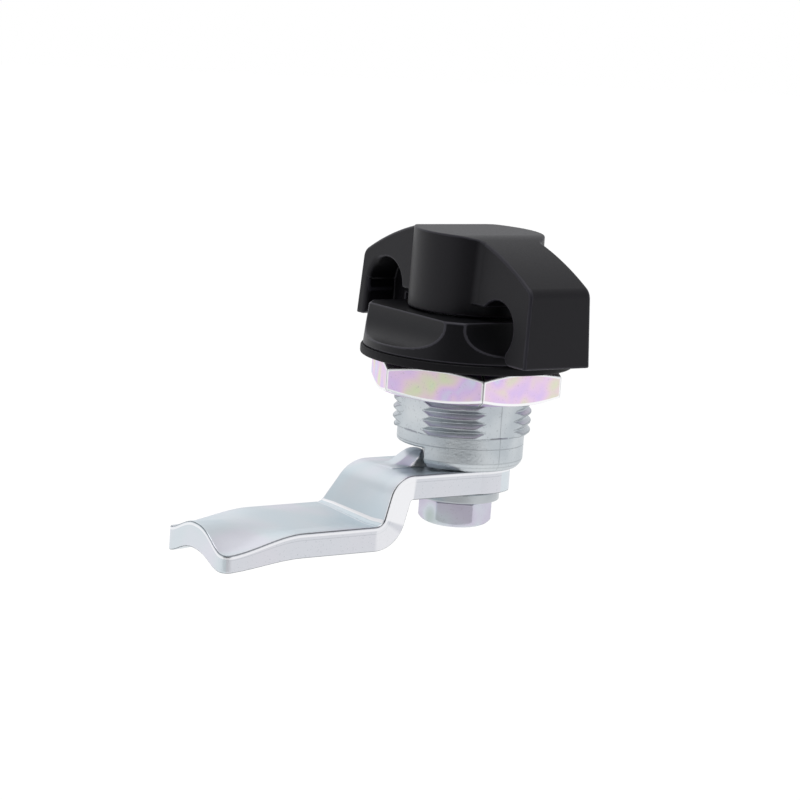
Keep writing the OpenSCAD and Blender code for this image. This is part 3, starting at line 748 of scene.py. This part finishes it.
cam = dict(
    half=8.0, headRadius=8.15, headShift=0.25, headTop=-16.85, thickness=3.9, edge=0.25, squareHalf=4.05,
    armStart=1.6, offset=7.15, offsetSkew=0.57, bendAngle=63.2, bendAngleSkew=11.8, bendOut=13.5,
    bendOutSkew=0.85, upperRound=1.25, upperRoundSkew=-0.85, lowerRound=1.6, bendSlack=0.2, lipNear=0.28,
    lipFar=-0.15, lipStart=4.5, sideLimit=1.1, tipEnd=-48.25, tipRoundNear=1.7, tipRoundFar=0.6, tipCut=3,
    tipLength=14.0, tipRise=0.55, dropNear=2.5, dropFar=1.9, archPower=1.25, tipThin=0.26,
    tipThinSkew=0.21, marginLow=0.6, marginHigh=0.3, step=0.2)
camStop = dict(
    near=1.5, far=-4.2, ridge=-0.6, inner=-6.95, top=-14.2, start=-7.2, length=6.0, lengthSkew=1.9,
    dome=0.066, back=0.6, lean=0.1, leanSkew=0.59, end=-13.9, sunk=1, topScale=0.8, innerScale=0.85,
    nearEdge=0.15, farEdge=1.1, edge=0.4, foot=0.35, shearedIn=0.15, shearedOut=0.1)


def sideShare(x):
    # from -1 at the plate's far edge to 1 at its near edge, and a little past both
    return np.clip(x / cam["half"], -cam["sideLimit"], cam["sideLimit"])


def plateHeight(x, y, z, withBends=False):
    # height above the bent plate's middle surface, measured square to it: the path across the plate is a
    # straight head, a bend down, a straight slope, a bend back and a straight arm
    c = cam
    side = sideShare(x)
    angle = np.radians(c["bendAngle"] + c["bendAngleSkew"] * side)
    r1 = c["upperRound"] + c["upperRoundSkew"] * side + c["thickness"] / 2
    r2 = c["lowerRound"] + c["thickness"] / 2
    offset = c["offset"] + c["offsetSkew"] * side
    sine, cosine = np.sin(angle), np.cos(angle)
    run = (offset - (r1 + r2) * (1 - cosine)) / sine
    headZ = c["headTop"] - c["thickness"] / 2 + edgeLift(x)
    y1 = -c["bendOut"] - c["bendOutSkew"] * side
    z1 = headZ - r1
    endY, endZ = y1 - r1 * sine, z1 + r1 * cosine
    y2 = endY - run * cosine - r2 * sine
    z2 = endZ - run * sine + r2 * cosine
    lift, thinned = tipLift(x, y)
    arm = z - (headZ - offset) - lift + thinned
    slope = -(y - endY) * sine + (z - endZ) * cosine
    first = np.hypot(y - y1, z - z1) - r1
    second = r2 - np.hypot(y - y2, z - z2)
    turn1 = np.arctan2(-(y - y1), z - z1)
    turn2 = np.arctan2(y - y2, -(z - z2))
    inFirst = (turn1 >= 0) & (turn1 <= angle) & (z > z1 - c["bendSlack"])
    inSecond = (turn2 >= 0) & (turn2 <= angle) & (z < z2 + c["bendSlack"])
    between = np.where(inFirst, first, np.where(inSecond, second, slope))
    height = np.where(y >= y1, z - headZ, np.where(y <= y2, arm, between))
    return (height, turn1 / angle, turn2 / angle) if withBends else height


def edgeLift(x):
    # bending turned the plate's near edge up a little and its far edge down
    c = cam
    reach = c["half"] - c["lipStart"]
    near = c["lipNear"] * smooth((x - c["lipStart"]) / reach)
    far = c["lipFar"] * smooth((-x - c["lipStart"]) / reach)
    return near + far


def tipLift(x, y):
    # the tip's arch: its middle rises and its edges drop towards the end, the near one more than the far one;
    # also by how much half its thickness changes
    c = cam
    along = smooth((c["tipLength"] + c["tipEnd"] - y) / c["tipLength"])
    side = sideShare(x)
    across = ((1 - np.cos(math.pi * side)) / 2) ** c["archPower"]
    drop = np.where(side > 0, c["dropNear"], c["dropFar"])
    lift = along * (c["tipRise"] * (1 - across) - drop * across)
    return lift, lift * (c["tipThin"] + c["tipThinSkew"] * side) / 2


def plateHalf(x, y):
    # half the plate's thickness
    return cam["thickness"] / 2 + tipLift(x, y)[1]


def stopField(x, y, z):
    # the pressed-up stop: a mound with one sheared wall, sloping down towards the bend in an even S, the more
    # steeply the nearer to that wall, and rounded off on its far side
    s = camStop
    base = cam["headTop"]
    share = np.clip((x - s["ridge"]) / (s["near"] - s["ridge"]), 0, 1)
    length = s["length"] - s["lengthSkew"] * share
    rise = (s["top"] - base) * (1 - smooth((s["start"] - y) / length))
    top = base + rise - s["dome"] * np.maximum(s["ridge"] - x, 0) ** 2
    steep = share ** 3
    inner = (y - s["inner"] + s["back"] * steep) + (s["lean"] + s["leanSkew"] * steep) * (z - base)
    mound = meet(meet((z - top) * s["topScale"], x - s["near"], s["nearEdge"]), s["far"] - x, s["farEdge"])
    mound = meet(mound, np.maximum(inner * s["innerScale"], base - s["sunk"] - z), s["edge"])
    return np.maximum(mound, s["end"] - y)


def camPlan(x, y):
    # the cam from above: a round head on a straight arm with rounded corners at the tip
    c = cam
    tipRound = np.where(x > 0, c["tipRoundNear"], c["tipRoundFar"])
    straight = np.maximum(np.abs(x) - c["half"], y - c["armStart"])
    tip = meet(np.abs(x) - c["half"], np.maximum(c["tipEnd"] - y, y - c["armStart"]), tipRound)
    arm = np.where(y > c["tipEnd"] + c["tipCut"], straight, tip)
    return np.minimum(arm, np.hypot(x, y - c["headShift"]) - c["headRadius"])


def camField(x, y, z):
    # the plate cut to its plan, with the stop on it and the square hole through it
    plate = np.abs(plateHeight(x, y, z)) - plateHalf(x, y)
    solid = join(meet(camPlan(x, y), plate, cam["edge"]), stopField(x, y, z), camStop["foot"])
    return np.maximum(solid, cam["squareHalf"] - np.maximum(np.abs(x), np.abs(y)))


def camMarks(points):
    # how far round each bend a point lies, from 0 to 1 inside it, its height in the plate from -1 to 1, its
    # distance from the plate's nearest edge in millimetres, below zero, and where the stop's wall was sheared
    x, y, z = points.T
    s = camStop
    height, upper, lower = plateHeight(x, y, z, withBends=True)
    half = plateHalf(x, y)
    onWall = (x > s["near"] - s["shearedIn"]) & (x < s["near"] + s["shearedOut"])
    sheared = onWall & (height > half + s["shearedOut"])
    return {"upperBend": upper, "lowerBend": lower, "level": height / half, "sheared": sheared * 1.0,
            "corner": np.minimum(np.abs(height) - half, camPlan(x, y))}


camRoom = [camBox[0] - cam["marginLow"], camBox[1] + cam["marginHigh"]]
camPiece = fieldPiece("cam_plate", camField, camRoom, [cam["step"]] * 3, camMarks)
fitPiece(camPiece, camPlating, "turning", "cam")


# Spring washer: a coned outline turned round the axis

washer = dict(bore=3.2, cone=0.2, boreEdge=0.1, edge=0.18, turns=160)
springWasher = ringPiece("spring_washer_ring", washerBox, washerBox[1][0], washer)
fitPiece(springWasher, washerSteel, "turning", "spring_washer")


# Cam screw: a domed hexagon head over its shank

screw = dict(
    apothem=5.08, turn=math.radians(22.4), cornerRound=0.3, centreFlat=2, domeStart=3.2, domeReach=2.95,
    domeHigh=2.0, domeSteps=10, headHigh=4.3, headLower=0.3, edge=0.12, flatBand=0.3, radius=3.0,
    underRound=0.3, underHigh=0.4, endBevel=0.5)
screwAngles = hexAngles(screw["apothem"], screw["cornerRound"], screw["turn"])
screwSide = hexRadius(screwAngles - screw["turn"], screw["apothem"], screw["cornerRound"])
screwLow = screwBox[0][2] - screw["headLower"]
screwTop = screwBox[1][2]
seatZ = screwLow + screw["headHigh"]
domeEnd = np.arcsin((screwSide - screw["domeStart"]) / screw["domeReach"])
domeTurn = np.linspace(0, 1, screw["domeSteps"] + 1)[None, :] * domeEnd[:, None]
dome = np.stack([screw["domeStart"] + screw["domeReach"] * np.sin(domeTurn),
                 screwLow + screw["domeHigh"] * (1 - np.cos(domeTurn))], axis=2)
underHead = sideOutlines(screwSide, [(0, screwTop), (0, screwLow), (screw["centreFlat"], screwLow)])
headAndShank = sideOutlines(screwSide, [
    (screwSide, dome[:, -1, 1] + screw["flatBand"]), (screwSide, seatZ - screw["flatBand"]),
    (screwSide, seatZ - screw["edge"]), (screwSide - screw["edge"], seatZ),
    (screw["radius"] + screw["underRound"], seatZ), (screw["radius"], seatZ),
    (screw["radius"], seatZ + screw["underHigh"]), (screw["radius"], screwTop - screw["endBevel"]),
    (screw["radius"] - screw["endBevel"], screwTop)])
screwRings = np.concatenate([underHead, dome, headAndShank], axis=1)
camScrew = makeMesh("cam_screw_plated", *turnedSurface(screwAngles, screwRings))
fitPiece(camScrew, screwPlating, "turning", "cam_screw")


# Spindle and its ring keep the frame's meshes

for node, material in (("spindle", spindleSteel), ("spindle_ring", sealRubber)):
    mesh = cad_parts[node].data
    mesh.materials.clear()
    mesh.materials.append(material)


# Camera, at the photograph's place

view = dict(
    place=(0.314363, -0.241869, 0.060491), up=(-0.1786, 0.0412, 0.9831), back=(0.7961, -0.5811, 0.1690),
    focalPixels=2523.4, framePixels=800, sensor=36, nearest=0.01, farthest=20)


def placed(across, up, back, place):
    # a matrix from three directions and a place
    return Matrix([[across[i], up[i], back[i], place[i]] for i in range(3)] + [[0, 0, 0, 1]])


def makeCamera():
    cameraData = bpy.data.cameras.new("camera")
    cameraData.sensor_width = view["sensor"]
    cameraData.lens = view["focalPixels"] / view["framePixels"] * view["sensor"]
    cameraData.clip_start, cameraData.clip_end = view["nearest"], view["farthest"]
    camera = bpy.data.objects.new("camera", cameraData)
    back = np.array(view["back"]) / np.linalg.norm(view["back"])
    across = np.cross(view["up"], back)
    across /= np.linalg.norm(across)
    camera.matrix_world = placed(across, np.cross(back, across), back, view["place"])
    bpy.context.scene.collection.objects.link(camera)
    bpy.context.scene.camera = camera


makeCamera()


# Studio: a pale floor, a near-white surround, a black card behind the camera and two soft lamps

studio = dict(floorZ=camBox[0][2] - 90, floorHalf=3000, floorTone="#e6e6e6", floorShade=0.16, floorGlow=0.9,
              cardAway=500, cardHalf=340, cardLow=36, cardHigh=500, cardTone="#161618",
              darkFrom=0.74, darkFull=0.96, darkLeft=0.04,
              surround=[(0.0, (0.90, 0.91, 0.93, 1)), (0.28, (0.93, 0.94, 0.96, 1)),
                        (0.46, (0.72, 0.73, 0.75, 1)), (0.66, (0.72, 0.72, 0.73, 1)),
                        (1.0, (0.80, 0.80, 0.81, 1))],
              lamps=[dict(name="side_lamp", toward=(-0.8, 0.1, 0.6), distance=0.5, size=0.4, power=0.15),
                     dict(name="top_lamp", toward=(0.15, -0.2, 1.0), distance=0.6, size=0.35, power=0.8)])


def makeSurround():
    # tones that change with height, dark towards the camera, and plain white for what the camera sees
    world = bpy.data.worlds.new("surround")
    world.use_nodes = True
    bpy.context.scene.world = world
    tree = world.node_tree
    tree.nodes.clear()
    direction = addNode(tree, "TexCoord").outputs["Generated"]
    height = addNode(tree, "SeparateXYZ", {}, {"Vector": direction}).outputs["Z"]
    grade = addNode(tree, "MapRange", {}, {"Value": height, "From Min": -0.2, "From Max": 1.0})
    tones = addNode(tree, "ValToRGB", {"stops": studio["surround"]}, {"Fac": grade.outputs["Result"]})
    toCamera = addNode(tree, "VectorMath", {"operation": "DOT_PRODUCT", 1: view["back"]},
                       {0: direction}).outputs["Value"]
    behind = addNode(tree, "MapRange", smoothly, {
        "Value": toCamera, "From Min": studio["darkFrom"], "From Max": studio["darkFull"], "To Min": 1.0,
        "To Max": studio["darkLeft"]})
    dimmed = addNode(tree, "Mix", tinting, {0: 1.0, 6: tones.outputs["Color"],
                                            7: behind.outputs["Result"]}).outputs[2]
    lit = addNode(tree, "Background", {"Strength": 1.0}, {"Color": dimmed})
    white = addNode(tree, "Background", {"Color": (1, 1, 1, 1), "Strength": 1.0})
    seen = addNode(tree, "LightPath").outputs["Is Camera Ray"]
    mixed = addNode(tree, "MixShader", {}, {0: seen, 1: lit.outputs[0], 2: white.outputs[0]})
    addNode(tree, "OutputWorld", {}, {"Surface": mixed.outputs[0]})


def makeFloor():
    # near white where the camera or a reflection sees it, though it keeps the object's shadow
    half, low = studio["floorHalf"], studio["floorZ"]
    floorPoints = np.array([[-half, -half, low], [half, -half, low], [half, half, low], [-half, half, low]])
    floor = makeMesh("floor", floorPoints, np.array([[0, 1, 2, 3]]))
    material, tree = newMaterial("pale_floor")
    paths = addNode(tree, "LightPath").outputs
    plain = addNode(tree, "BsdfDiffuse", {"Color": hexColour(studio["floorTone"])})
    faint = addNode(tree, "BsdfDiffuse", {"Color": (*[studio["floorShade"]] * 3, 1)})
    glow = addNode(tree, "Emission", {"Color": (1, 1, 1, 1), "Strength": studio["floorGlow"]})
    shown = addNode(tree, "AddShader", {}, {0: faint.outputs[0], 1: glow.outputs[0]})
    rays = {0: paths["Is Camera Ray"], 1: paths["Is Glossy Ray"]}
    seen = addNode(tree, "Math", larger, rays).outputs[0]
    mixed = addNode(tree, "MixShader", {}, {0: seen, 1: plain.outputs[0], 2: shown.outputs[0]})
    addNode(tree, "OutputMaterial", {}, {"Surface": mixed.outputs[0]})
    floor.data.materials.append(material)


def makeCard():
    # the card behind the camera gives the boss its dark band
    toward = np.array(view["back"][:2]) / math.hypot(*view["back"][:2])
    foot = toward * studio["cardAway"]
    aside = np.array([-toward[1], toward[0]]) * studio["cardHalf"]
    low, high = studio["cardLow"], studio["cardHigh"]
    corners = ((-1, low), (1, low), (1, high), (-1, high))
    cardPoints = np.array([[*(foot + aside * s), studio["floorZ"] + h] for s, h in corners])
    card = makeMesh("black_card", cardPoints, np.array([[0, 1, 2, 3]]))
    material, tree = newMaterial("black_card")
    felt = addNode(tree, "BsdfDiffuse", {"Color": hexColour(studio["cardTone"])})
    addNode(tree, "OutputMaterial", {}, {"Surface": felt.outputs[0]})
    card.data.materials.append(material)


def makeLamp(name, toward, distance, size, power):
    lampData = bpy.data.lights.new(name, "AREA")
    lampData.size, lampData.energy = size, power
    lamp = bpy.data.objects.new(name, lampData)
    aim = np.array(toward) / np.linalg.norm(toward)
    side = np.cross((0, 1, 0), aim)
    side /= np.linalg.norm(side)
    lamp.matrix_world = placed(side, np.cross(aim, side), aim, aim * distance)
    bpy.context.scene.collection.objects.link(lamp)


bpy.context.scene.view_settings.view_transform = "Standard"
makeSurround()
makeFloor()
makeCard()
for lamp in studio["lamps"]:
    makeLamp(**lamp)
print("camera and studio made")
